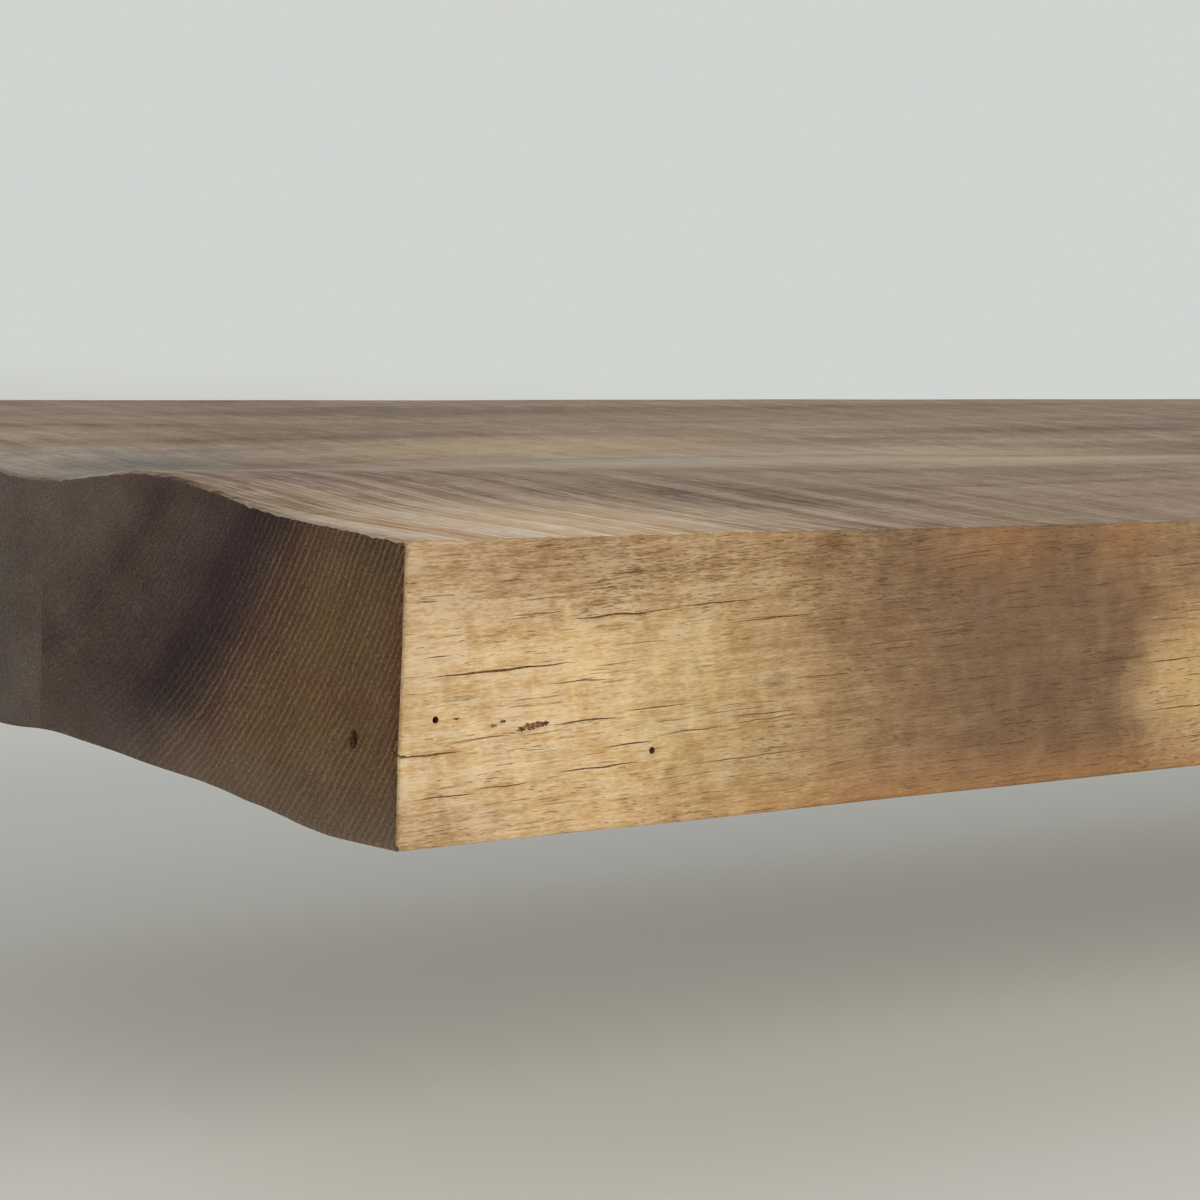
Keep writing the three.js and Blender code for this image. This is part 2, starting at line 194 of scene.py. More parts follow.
def fibre_pattern(tree, point, width, pore_level, strength=1.0, crowded=None):
    """How much darker than its zone the wood is, as a power for its colour, then its height, then its pores.

    Growth lines lie 2 mm apart, fibres are 0.2 to 0.5 mm wide and pores 3 mm long, all drawn wider by width
    on a face that the eye meets at a low angle. The figure comes in patches of 8 to 14 mm."""
    bent = wandering(tree, point, 32, 2.4)
    growth = grain(tree, bent, (60, 2.0 * width, 2.0 * width), 2, FIBRE_RISE)
    fibres = grain(tree, bent, (8, 0.5 * width, 0.5 * width), 4, FIBRE_RISE, 0.3)
    fine = grain(tree, bent, (1.5, 0.2 * width, 0.2 * width), 2, FIBRE_RISE)
    figure = grain(tree, bent, (6, 10, 9), 4, (0, -0.45, 0), 0.5)
    cloud = grain(tree, point, (3.2, 3.2, 2.4), 3)
    crowd = add(
        tree,
        "MapRange",
        {0: grain(tree, point, (26, 9, 7)), 1: 0.35, 2: 0.65, 3: -0.06, 4: 0.05},
        interpolation_type="SMOOTHSTEP",
    )
    if crowded:
        crowd = add(tree, "Math", {0: crowded, 1: 0.12, 2: crowd}, operation="MULTIPLY_ADD")
    short = grain(tree, bent, (2.8, 0.27 * width, 0.27 * width), 1, FIBRE_RISE, 0.2)
    short = add(tree, "Math", {0: short, 1: crowd}, operation="ADD")
    wide = {0: short, 1: pore_level, 2: pore_level + 0.1}
    short = add(tree, "MapRange", wide, interpolation_type="SMOOTHSTEP")
    long = grain(tree, bent, (16, 0.34 * width, 0.34 * width), 1, FIBRE_RISE, 0.2)
    long = add(tree, "MapRange", {0: long, 1: 0.66, 2: 0.78}, interpolation_type="SMOOTHSTEP")
    pores = add(tree, "Math", {0: short, 1: long}, operation="MAXIMUM")
    power = 1.0
    for marks, share in ((growth, 0.5), (fibres, 0.9), (fine, 1.0), (figure, 0.75), (cloud, 0.35)):
        centred = add(tree, "Math", {0: marks, 1: 0.5}, operation="SUBTRACT")
        power = add(tree, "Math", {0: centred, 1: share * strength, 2: power}, operation="MULTIPLY_ADD")
    height = 0.0
    for marks, share in ((figure, -0.12), (fibres, -0.4), (fine, -0.5), (cloud, -0.1), (pores, -0.5)):
        height = add(tree, "Math", {0: marks, 1: share, 2: height}, operation="MULTIPLY_ADD")
    return power, height, pores


def oil(tree, shader, tone, height, pores, relief, dull):
    """Gives the wood its colour and the broken satin of oil: fibres shine a little and pores don't."""
    rough = add(tree, "Math", {0: height, 1: -0.25, 2: dull}, operation="MULTIPLY_ADD")
    rough = add(tree, "Math", {0: pores, 1: 0.15, 2: rough}, operation="MULTIPLY_ADD")
    cover(tree, shader, tone, rough, relief, height)
    shader.inputs["IOR"].default_value = 1.45


# Colours of the front edge along the board, as shares of its length
EDGE_ZONES = [
    (0.0, "CAAB80"),
    (0.02, "CCAD82"),
    (0.045, "CDAC7E"),
    (0.06, "C2A476"),
    (0.075, "B5986A"),
    (0.09, "A4855A"),
    (0.105, "8C6D47"),
    (0.125, "785A3A"),
    (0.145, "6D5032"),
    (0.182, "6E5133"),
    (0.197, "86643F"),
    (0.212, "B08E5F"),
    (0.235, "B2946A"),
    (0.28, "94744F"),
    (0.33, "7A5C40"),
    (0.38, "8E6E4C"),
    (0.44, "B08E62"),
    (0.52, "BC9A6C"),
    (0.58, "92724E"),
    (0.64, "785A3E"),
    (0.72, "9C7C56"),
    (0.8, "BA986A"),
    (0.88, "A4845A"),
    (1.0, "BE9C70"),
]


def edge_wood():
    """Oiled reclaimed hardwood, planed edge: golden sapwood, and darker brown in zones along the board."""
    material, tree, shader, point = start_material("oiled_hardwood_planed_edge")
    left = -LENGTH / 2
    crowded = stain(tree, point, (left + 62, 0, 19), (50, 0, 13))
    power, height, pores = fibre_pattern(tree, point, 1, 0.69, 1, crowded)
    parts = add(tree, "SeparateXYZ", {0: point}).node.outputs
    level = parts[2]
    zone = add(tree, "Math", {0: parts[0], 1: LENGTH / 2 - 18}, operation="ADD")
    waves = grain(tree, point, (38, 38, 26), 2, (0, 0.4, 0))
    streaks = grain(tree, point, (45, 1.8, 1.8), 2, FIBRE_RISE)
    for shift, share in ((level, 0.3), (waves, 22), (streaks, 18)):
        zone = add(tree, "Math", {0: shift, 1: share, 2: zone}, operation="MULTIPLY_ADD")
    zone = add(tree, "Math", {0: zone, 1: LENGTH}, operation="DIVIDE")
    base = add(tree, "ValToRGB", {0: zone}, stops=EDGE_ZONES)
    # The lower edge, and two places along the upper one, are oranger: more oil was left in them.
    low = add(tree, "MapRange", {0: level, 1: -14, 2: -25, 4: 0.5}, interpolation_type="SMOOTHSTEP")
    start = add(tree, "MapRange", {0: parts[0], 1: left + 30, 2: left + 75}, interpolation_type="SMOOTHSTEP")
    low = add(tree, "Math", {0: low, 1: start}, operation="MULTIPLY")
    more_oil = low
    for place, reach in ((130, 26), (161, 14)):
        high = stain(tree, point, (left + place, 0, 22), (reach, 0, 12), 0.36)
        more_oil = add(tree, "Math", {0: more_oil, 1: high}, operation="MAXIMUM")
    rubbed = stain(tree, point, (left + 34, 0, 21), (72, 0, 16), 0.85)
    smudges = grain(tree, point, (11, 9, 6))
    smudges = add(tree, "MapRange", {0: smudges, 1: 0.62, 2: 0.78, 4: 0.45}, interpolation_type="SMOOTHSTEP")
    # Cream patches, a little aslant, near the corner are painted sheen: they stand in for the shimmer of the
    # golden wood.
    golden = stain(tree, point, (left + 28, 0, -4), (75, 0, 27))
    painted_sheen = grain(tree, point, (4.5, 9, 8), 3, (0, -0.35, 0), 0.5)
    painted_sheen = add(tree, "MapRange", {0: painted_sheen, 1: 0.5, 2: 0.66, 4: 0.5}, interpolation_type="SMOOTHSTEP")
    painted_sheen = add(tree, "Math", {0: painted_sheen, 1: golden}, operation="MULTIPLY")
    brown_patch = stain(tree, point, (left + 184, 0, 18), (24, 0, 16), 0.85)
    # The glow patch is a lighter tone in the brown wood: partly its own colour, partly a painted reflection.
    glow = stain(tree, point, (left + 181, 0, -7), (21, 0, 19), 0.85)
    corner = stain(tree, point, (left + 4, 0, -24), (26, 0, 12), 0.7)
    shades = ((more_oil, "A8743F"), (rubbed, "987853"), (smudges, "76604A"), (painted_sheen, "E2C690"))
    for share, code in (*shades, (brown_patch, "76583A"), (glow, "BE9E6C"), (corner, "AA855A")):
        base = add(tree, "Mix", {0: share, 6: base, 7: colour(code)}, 2, data_type="RGBA")
    # The marks are strongest near the corner. The brown wood beyond was scraped smoother.
    crisp = stain(tree, point, (left + 15, 0, 0), (75, 0, 0), 0.4)
    calm = stain(tree, point, (left + 140, 0, 0), (90, 0, 0), -0.7)
    power = add(tree, "Math", {0: power, 1: 1}, operation="SUBTRACT")
    strength = add(tree, "Math", {0: crisp, 1: calm}, operation="ADD")
    power = add(tree, "Math", {0: power, 1: strength, 2: power}, operation="MULTIPLY_ADD")
    power = add(tree, "Math", {0: power, 1: 1}, operation="ADD")
    # The brown wood is faintly mottled too, in soft patches 6 to 9 mm across.
    mottle = grain(tree, point, (6, 8, 9), 3, (0, 0.2, 0), 0.6)
    mottle = add(tree, "Math", {0: mottle, 1: 0.5}, operation="SUBTRACT")
    mottled = stain(tree, point, (left + 150, 0, 0), (120, 0, 0))
    mottled = add(tree, "MapRange", {0: mottled, 3: 0.12, 4: 0.4})
    power = add(tree, "Math", {0: mottle, 1: mottled, 2: power}, operation="MULTIPLY_ADD")
    power = add(tree, "Math", {0: power, 1: 0.77}, operation="MAXIMUM")
    tone = add(tree, "Gamma", {0: base, 1: power})
    dark = add(tree, "Math", {0: pores, 1: 0.45}, operation="MULTIPLY")
    tone = add(tree, "Mix", {0: dark, 6: tone, 7: colour("6A4C38")}, 2, data_type="RGBA")
    oil(tree, shader, tone, height, pores, 0.00028, 0.5)
    return material


def face_wood(name, base_code, dark_code, stains):
    """Oiled reclaimed hardwood, scraped face: greyer than the edge, partly weathered and partly as a painted
    sheen, and stained in other tones.
    """
    material, tree, shader, point = start_material(name)
    power, height, pores = fibre_pattern(tree, point, 2.2, 0.67, 0.6)
    drift = grain(tree, point, (190, 20, 60), 3, FIBRE_RISE, 0.3)
    drift = add(tree, "MapRange", {0: drift, 1: 0.36, 2: 0.7}, interpolation_type="SMOOTHSTEP")
    base = add(tree, "Mix", {0: drift, 6: colour(base_code), 7: colour(dark_code)}, 2, data_type="RGBA")
    for centre, reach, code, strength in stains:
        place = (centre[0] - LENGTH / 2, centre[1] - DEPTH - WALL_GAP, 0)
        share = stain(tree, point, place, (*reach, 0), strength)
        base = add(tree, "Mix", {0: share, 6: base, 7: colour(code)}, 2, data_type="RGBA")
    # The scraper left crests across the grain, and finer lines between, all plainest at the left end. The
    # crests are also painted lighter: a painted highlight for the sheen that they catch.
    near = stain(tree, point, (-LENGTH / 2, -DEPTH, 0), (230, 130, 0))
    near = add(tree, "MapRange", {0: near, 3: 0.15})
    line = add(tree, "VectorMath", {0: point, 1: SCRAPER_WAY}, "Value", operation="DOT_PRODUCT")
    line = add(tree, "Math", {0: grain(tree, point, (70, 40, 40)), 1: 8, 2: line}, operation="MULTIPLY_ADD")
    crests = add(tree, "Math", {0: line, 1: CREST_SPACING}, operation="DIVIDE")
    crests = add(tree, "Math", {0: crests, 1: CREST_PHASE}, operation="ADD")
    crests = add(tree, "Math", {0: crests, 1: 2 * math.pi}, operation="MULTIPLY")
    crests = add(tree, "Math", {0: crests}, operation="COSINE")
    crests = add(tree, "MapRange", {0: crests, 1: 0.2, 2: 1}, interpolation_type="SMOOTHSTEP")
    lines = 0.0
    for size, share in (((5, 120, 120), 0.45), ((1.4, 50, 50), 0.55)):
        marks = grain(tree, point, size, 1, SCRAPER_SLANT)
        lines = add(tree, "Math", {0: marks, 1: share, 2: lines}, operation="MULTIPLY_ADD")
    lines = add(tree, "MapRange", {0: lines, 1: 0.4, 2: 0.6, 3: -1}, interpolation_type="SMOOTHSTEP")
    crests = add(tree, "Math", {0: crests, 1: near}, operation="MULTIPLY")
    lines = add(tree, "Math", {0: lines, 1: near}, operation="MULTIPLY")
    ridges = add(tree, "Math", {0: crests, 1: lines}, operation="ADD")
    power = add(tree, "Math", {0: lines, 1: -0.36, 2: power}, operation="MULTIPLY_ADD")
    scratches = 0.0
    for size in ((0.7, 24, 24), (0.5, 8, 8)):
        marks = grain(tree, point, size, 1, SCRAPER_SLANT)
        marks = add(tree, "MapRange", {0: marks, 1: 0.57, 2: 0.68})
        scratches = add(tree, "Math", {0: marks, 1: scratches}, operation="MAXIMUM")
    scratches = add(tree, "Math", {0: scratches, 1: near}, operation="MULTIPLY")
    power = add(tree, "Math", {0: scratches, 1: 1.1, 2: power}, operation="MULTIPLY_ADD")
    height = add(tree, "Math", {0: ridges, 1: 0.35, 2: height}, operation="MULTIPLY_ADD")
    tone = add(tree, "Gamma", {0: base, 1: power})
    # Painted highlight: the crests' colour is mixed towards a pale tone, as the sheen on them.
    crests = add(tree, "Math", {0: crests, 1: 0.42}, operation="MULTIPLY")
    tone = add(tree, "Mix", {0: crests, 6: tone, 7: colour("D2BAA0")}, 2, data_type="RGBA")
    oil(tree, shader, tone, height, pores, 0.0003, 0.58)
    return material


def end_wood(name, pith, zone, stops, spacing, clear_from, stains):
    """Oiled end grain, sawn and sanded: dark, because the open pores drink the oil, with light dotted rings.

    The pith is a depth and a level. The colours' stops lie between the two radii of the zone, and the rings
    show clearly at more than clear_from millimetres from the pith."""
    material, tree, shader, point = start_material(name)
    flat = add(tree, "VectorMath", {0: point, 1: (0, 1, 1)}, operation="MULTIPLY")
    bent = wandering(tree, flat, 30, 3)
    bent = wandering(tree, bent, 6, 1.0)
    bent = wandering(tree, bent, 1.2, 0.6)
    centre = (0, pith[0] - DEPTH - WALL_GAP, pith[1])
    reach = add(tree, "VectorMath", {0: bent, 1: centre}, "Value", operation="DISTANCE")
    share = add(tree, "MapRange", {0: reach, 1: zone[0], 2: zone[1]})
    base = add(tree, "ValToRGB", {0: share}, stops=stops)
    rings = add(tree, "Math", {0: reach, 1: 2 * math.pi / spacing}, operation="MULTIPLY")
    rings = add(tree, "Math", {0: rings}, operation="SINE")
    rings = add(tree, "MapRange", {0: rings, 1: -0.3, 2: 1}, interpolation_type="SMOOTHSTEP")
    years = add(tree, "TexNoise", {"W": reach, "Scale": 0.45, "Detail": 2}, noise_dimensions="1D")
    years = add(tree, "MapRange", {0: years, 1: 0.3, 2: 0.62, 3: 0.4}, interpolation_type="SMOOTHSTEP")
    dots = grain(tree, point, (1, 0.34, 0.5), 1)
    dots = add(tree, "MapRange", {0: dots, 1: 0.36, 2: 0.62, 3: 0.2}, interpolation_type="SMOOTHSTEP")
    faint = grain(tree, point, (1, 12, 10))
    faint = add(tree, "MapRange", {0: faint, 1: 0.3, 2: 0.55, 3: 0.5}, interpolation_type="SMOOTHSTEP")
    clear = {0: reach, 1: clear_from - 8, 2: clear_from + 10, 3: 0.12}
    dotted = add(tree, "MapRange", clear, interpolation_type="SMOOTHSTEP")
    for share in (rings, years, dots, faint):
        dotted = add(tree, "Math", {0: dotted, 1: share}, operation="MULTIPLY")
    for centre, size, code, strength in stains:
        place = (0, centre[0] - DEPTH - WALL_GAP, centre[1])
        share = stain(tree, bent, place, (0, *size), strength)
        base = add(tree, "Mix", {0: share, 6: base, 7: colour(code)}, 2, data_type="RGBA")
    specks = add(tree, "MapRange", {0: grain(tree, point, (1, 0.3, 0.3), 2), 1: 0.35, 2: 0.65})
    blotches = grain(tree, point, (1, 16, 11), 3)
    power = 0.99
    for marks, share in ((dotted, -0.3), (specks, -0.42), (blotches, 0.5)):
        power = add(tree, "Math", {0: marks, 1: share, 2: power}, operation="MULTIPLY_ADD")
    tone = add(tree, "Gamma", {0: base, 1: power})
    light = add(tree, "Math", {0: dotted, 1: 0.8}, operation="MULTIPLY")
    tone = add(tree, "Mix", {0: light, 6: tone, 7: colour("A68A5E")}, 2, data_type="RGBA")
    ruddy = add(tree, "MapRange", {0: grain(tree, point, (1, 0.8, 2.0)), 1: 0.52, 2: 0.66, 4: 0.6})
    low_front = stain(tree, point, (0, -230, -2), (0, 24, 10))
    ruddy = add(tree, "Math", {0: ruddy, 1: low_front}, operation="MULTIPLY")
    tone = add(tree, "Mix", {0: ruddy, 6: tone, 7: colour("844630")}, 2, data_type="RGBA")
    height = add(tree, "Math", {0: dotted, 1: specks}, operation="ADD")
    rough = add(tree, "Math", {0: height, 1: -0.08, 2: 0.72}, operation="MULTIPLY_ADD")
    cover(tree, shader, tone, rough, 0.0002, height)
    shader.inputs["IOR"].default_value = 1.45
    # Sanded end grain scatters the light, so it has less of the oil's sheen than the faces.
    shader.inputs["Specular IOR Level"].default_value = 0.32
    return material


def bored_wood():
    """Bare hardwood as a drill and router leave it: pale, dry and matt, with cutter marks 2 mm apart."""
    material, tree, shader, point = start_material("bare_hardwood_bored")
    power, height, pores = fibre_pattern(tree, point, 1, 0.68)
    tone = add(tree, "Gamma", {0: colour("B08A60"), 1: power})
    marks = add(tree, "TexWave", {"Vector": point, "Scale": 0.16, "Distortion": 2}, 1, bands_direction="Y")
    marks = add(tree, "Math", {0: marks, 1: 0.25}, operation="MULTIPLY")
    tone = add(tree, "Mix", {0: marks, 6: tone, 7: colour("8A6844")}, 2, data_type="RGBA")
    oil(tree, shader, tone, height, pores, 0.0002, 0.75)
    return material


def hollow_wood():
    """The inside of drying checks and worm holes: brown with old dust and stain, and quite matt."""
    material, tree, shader, point = start_material("stained_wood_in_checks")
    dust = grain(tree, point, (0.6, 0.4, 0.4), 3)
    tone = add(tree, "ValToRGB", {0: dust}, stops=[(0.4, "684830"), (0.62, "AC8862")])
    rough = add(tree, "MapRange", {0: dust, 1: 0.3, 2: 0.7, 3: 0.8, 4: 0.95})
    cover(tree, shader, tone, rough)
    return material


# Colours of the end grain outwards from the pith, between its two radii
FRONT_END_RINGS = [
    (0.05, "7B695D"),
    (0.12, "776357"),
    (0.18, "6A564C"),
    (0.217, "58433C"),
    (0.25, "654F45"),
    (0.32, "5D4841"),
    (0.37, "553F3B"),
    (0.395, "462E2F"),
    (0.415, "3E2629"),
    (0.46, "3E2628"),
    (0.485, "4C332B"),
    (0.515, "5E3E30"),
    (0.55, "6E4A38"),
    (0.59, "7A573B"),
    (0.64, "80603C"),
    (0.96, "805F3C"),
]
REAR_END_RINGS = [
    (0.0, "7E6D65"),
    (0.3, "71635D"),
    (0.5, "806F65"),
    (0.7, "73645B"),
    (1.0, "7C6B61"),
]
# Stains on the ends, each with its centre and reach in depth and level, its colour and its strength
FRONT_END_STAINS = [
    ((40, -27), (200, 19), "8A7668", 0.7),
    ((8, 24), (32, 13), "503A2A", 0.65),
    ((12, 27), (26, 5), "64321F", 0.6),
    ((-1, 4), (11, 22), "6E3422", 0.65),
    ((-1.5, 3), (6, 40), "582A1A", 0.75),
]
# Stains on the top, each with its centre and reach in along and depth, its colour and its strength
FRONT_FACE_STAINS = [
    ((130, 106), (210, 27), "D2C4B0", 0.6),
    ((245, 94), (110, 32), "D2BCA2", 0.6),
    ((8, 102), (60, 24), "CCC0B0", 0.6),
    ((82, 48), (125, 42), "7C6857", 0.6),
    # The pale patch by the corner is partly a painted sheen.
    ((36, 12), (76, 62), "EAD0B0", 0.9),
    ((168, 22), (62, 30), "86705A", 0.5),
    ((30, 70), (42, 15), "7E6C60", 0.5),
]
REAR_FACE_STAINS = [
    ((170, 120), (170, 14), "CCC0AE", 0.45),
    ((240, 130), (95, 26), "D8C0A0", 0.5),
    ((20, 142), (85, 26), "B4B0AA", 0.5),
    ((32, 137), (30, 16), "5C5A50", 0.6),
    ((130, 139), (100, 30), "CEB696", 0.7),
    ((300, 216), (420, 26), "8A7460", 0.6),
    ((20, 175), (60, 22), "C0A68C", 0.5),
]

planed_edge = edge_wood()
# The scraped faces' base tones are greyed, partly as a painted sheen.
front_face = face_wood("oiled_hardwood_scraped_front", "A8907B", "7C6A57", FRONT_FACE_STAINS)
rear_face = face_wood("oiled_hardwood_scraped_rear", "A48E79", "786654", REAR_FACE_STAINS)
front_end = end_wood(
    "oiled_end_grain_front", (172, 105), (100, 220), FRONT_END_RINGS, 1.4, 157, FRONT_END_STAINS
)
rear_end = end_wood("oiled_end_grain_rear", (290, -60), (20, 200), REAR_END_RINGS, 1.6, 400, [])
bored = bored_wood()
hollow = hollow_wood()


# The board's scraped form, which repeats the CAD's. Each swell has its height, its depth and its reach.

CREST = (2.4, 75, 44)
TROUGH = (3.3, 130, 48)
BELLY = (1.5, 24, 34)
JOINT_DROP = (2.2, 142, 34)
TOP_DIP = (1.2, 0, 40)
UNDERSIDE_DIP = (0.7, 0, 40)


def swell(depth, height, centre, reach):
    """The height of a rounded swell at this depth."""
    offset = abs(depth - centre) / reach
    return height * (1 + math.cos(math.pi * offset)) / 2 if offset < 1 else 0


def wave(along, wavelength):
    """A slow wave along the board, from 0 at its left end to 1 half a wavelength on."""
    return (1 - math.cos(2 * math.pi * along / wavelength)) / 2


def scrape_share(along):
    """How strongly the board was scraped here: most at its left end, and more and less in turn along it."""
    return 0.4 + 0.35 * math.exp(-along / 80) + 0.25 * math.cos(2 * math.pi * along / 320)


def top_level(along, depth):
    """The level of the top before its ripples: a crest near the front, and a trough over the glue joint."""
    scraped = (swell(depth, *CREST) - swell(depth, *TROUGH)) * scrape_share(along)
    return THICKNESS / 2 + scraped - swell(depth, *TOP_DIP) * wave(along, 390)


def underside_level(along, depth):
    """The level of the underside, which hangs lower near the front and behind the glue joint."""
    scraped = (swell(depth, *BELLY) + swell(depth, *JOINT_DROP)) * scrape_share(along)
    return -THICKNESS / 2 - scraped + swell(depth, *UNDERSIDE_DIP) * wave(along, 390)


def front_bow(along):
    """How far the front edge was planed back: up to half a millimetre, in slow waves."""
    return 0.5 * wave(along, 430)


def rough(x, y, z=0.0):
    """Smooth noise from 0 to 1."""
    return min(max(0.5 + 0.62 * noise.noise(Vector((x, y, z))), 0), 1)


def scraper_dips(along, depth):
    """How far the scraper went below the crests of its ripples near the left end."""
    line = along + SCRAPER_WAY[1] * depth + 5 * (rough(along / 60, depth / 50, 3) - 0.5)
    ripple = wave(line - FIRST_CREST, CREST_SPACING)
    fine = rough(line / 3.4, depth / 60, 8)
    near = swell(depth, 1, 20, 95) * math.exp(-along / 240)
    hollows = rough(along / 70, depth / 17, 5)
    return near * (0.22 * ripple + 0.3 * fine) + 0.35 * hollows


def torn(depth, start):
    """How far the arris of the left end is frayed here: by splinters 3 mm wide, more in some places."""
    splinters = max(0, rough(depth / 2.2, 1, start) - 0.3)
    places = 0.2 + 1.2 * rough(depth / 13, 2, start + 5)
    return 0.1 + 0.95 * splinters * places


def frayed(from_end, drop, tear):
    """How far a place near an arris moves inwards and down, so that the eased edge widens to a frayed slope.

    The place lies this far from the end and from the face."""
    inwards = 0.5 * tear * max(0, 1 - from_end / 6) * max(0, 1 - drop / EASED)
    down = tear * max(0, 1 - drop / 6) * max(0, 1 - from_end / EASED)
    return inwards, down


def build_stave(name, front, back, cuts, crowd, face_finish, end_finish):
    """A stave from a cube: cut into a fine grid, its outer edges eased, then pressed into its scraped form.

    The grid is closest at the left end, and crowd says how much closer it is at the front."""
    form = bmesh.new()
    bmesh.ops.create_cube(form, size=1)
    bmesh.ops.scale(form, verts=form.verts, vec=(LENGTH, back - front, THICKNESS))
    bmesh.ops.translate(form, verts=form.verts, vec=(LENGTH / 2, (front + back) / 2, 0))
    for axis, count in enumerate(cuts):
        lines = [e for e in form.edges if abs((e.verts[0].co - e.verts[1].co).normalized()[axis]) > 0.9]
        bmesh.ops.subdivide_edges(form, edges=lines, cuts=count - 1, use_grid_fill=True)
    corners = [
        e
        for e in form.edges
        if e.calc_face_angle() > 1 and not all(abs(v.co.y - GLUE_JOINT) < 1e-3 for v in e.verts)
    ]
    bmesh.ops.bevel(
        form, geom=corners, offset=EASED, affect="EDGES", segments=3, profile=0.5, material=-1
    )
    for face in form.faces:
        normal = face.normal
        face.smooth = True
        if abs(normal.x) > 0.95 or (abs(normal.x) > 0.2 and normal.z < -0.2):
            face.material_index = END
        elif abs(normal.z) > 0.9 or (abs(normal.x) > 0.3 and normal.z > 0.5):
            face.material_index = FACE
        else:
            face.material_index = EDGE
    for vert in form.verts:
        along, depth, level = vert.co
        if EASED < along < LENGTH - EASED:
            share = (along - EASED) / (LENGTH - 2 * EASED)
            along = EASED + (LENGTH - 2 * EASED) * share * (0.35 + 0.65 * share)
        if front + EASED < depth < back - EASED:
            share = (depth - front - EASED) / (back - front - 2 * EASED)
            depth = front + EASED + (back - front - 2 * EASED) * share * (1 - crowd * (1 - share))
        share = level / THICKNESS + 0.5
        top, underside = top_level(along, depth), underside_level(along, depth)
        height = underside + (top - underside) * share
        from_end, above, below = along, top - height, height - underside
        # The faces' roughness fades within a tenth of the thickness, and the edges' within 6 mm.
        upper = max(0, (share - 0.9) / 0.1)
        lower = max(0, (0.1 - share) / 0.1)
        height -= upper * scraper_dips(along, depth)
        height += lower * 0.4 * rough(along / 60, depth / 14, 30)
        inward = max(0, 1 - depth / 6) if front == 0 else 0
        depth += front_bow(along) * max(0, 1 - depth / GLUE_JOINT)
        depth += inward * 0.25 * rough(along / 45, height / 9, 50)
        depth += inward * 0.12 * rough(along / 8, height / 1.6, 60)
        # The end was sawn a little out of square, so that it leans inwards at the bottom.
        along += max(0, 1 - from_end / 5) * (0.3 * rough(depth / 14, height / 14, 70) + 0.7 * (1 - share))
        top_in, top_down = frayed(from_end, above, torn(depth, 12))
        low_in, low_up = frayed(from_end, below, torn(depth / 2.5, 40) + 0.5 * rough(depth / 9, 5, 2))
        corner = max(0, 1 - max(from_end, vert.co.y - front) / 1.4) if front == 0 else 0
        notch = 0.7 * corner * max(0, rough(3, height / 2.2, 80) - 0.5)
        vert.co = (
            along - LENGTH / 2 + top_in + low_in + notch,
            depth - DEPTH - WALL_GAP + notch,
            height - top_down + 1.2 * low_up,
        )
    return as_object(form, name, planed_edge, face_finish, end_finish, bored, hollow)


def as_object(form, name, *finishes):
    """Turns millimetres to metres and makes the object, at the origin, with its finishes."""
    bmesh.ops.scale(form, verts=form.verts, vec=(0.001, 0.001, 0.001))
    mesh = bpy.data.meshes.new(name)
    form.to_mesh(mesh)
    form.free()
    for finish in finishes:
        mesh.materials.append(finish)
    made = bpy.data.objects.new(name, mesh)
    bpy.context.collection.objects.link(made)
    return made


def carve(piece, form):
    """Cuts closed forms out of a piece. The new faces keep the finish slot of the form."""
    # The cutter has as many finish slots as the piece, so that its faces' slot numbers are kept.
    cutter = as_object(form, "cutter", *piece.data.materials)
    carving = piece.modifiers.new("carve", "BOOLEAN")
    carving.operation = "DIFFERENCE"
    carving.solver = "MANIFOLD"
    carving.object = cutter
    bpy.context.view_layer.objects.active = piece
    bpy.ops.object.modifier_apply(modifier=carving.name)
    bpy.data.objects.remove(cutter)


def turned(form, profile, steps, finish=0, closed=False):
    """A body spun about the Y axis from (radius, distance) points, which end on the axis unless closed."""
    before = set(form.verts)
    corners = [form.verts.new((radius, along, 0)) for radius, along in profile]
    pairs = list(zip(corners, corners[1:])) + ([(corners[-1], corners[0])] if closed else [])
    lines = [form.edges.new(pair) for pair in pairs]
    bmesh.ops.spin(
        form,
        geom=corners + lines,
        cent=(0, 0, 0),
        axis=(0, 1, 0),
        angle=2 * math.pi,
        steps=steps,
        use_merge=True,
    )
    made = [v for v in form.verts if v not in before]
    bmesh.ops.remove_doubles(form, verts=made, dist=1e-4)
    made = [v for v in form.verts if v not in before]
    faces = {face for vert in made for face in vert.link_faces}
    bmesh.ops.recalc_face_normals(form, faces=list(faces))
    for face in faces:
        face.material_index = finish
        face.smooth = True
    return made


def block(size, place):
    """A box of the given size, about its centre."""
    form = bmesh.new()
    bmesh.ops.create_cube(form, size=1)
    bmesh.ops.scale(form, verts=form.verts, vec=size)
    bmesh.ops.translate(form, verts=form.verts, vec=place)
    return form


def rod_bores():
    """Cutters for the four rods' bores, with the wider mouths that clear their welds."""
    bore, mouth = ROD + 0.35, ROD + 4.5
    mouth_end, bore_end = PLATE + 4.5, ROD_TIP + 5
    profile = [(0, PAST), (mouth, PAST), (mouth, -mouth_end), (bore, -mouth_end), (bore, -bore_end)]
    profile.append((0, -bore_end))
    form = bmesh.new()
    for x in ROD_PLACES:
        bmesh.ops.translate(form, verts=turned(form, profile, 48, BORED), vec=(x, 0, 0))
    return form


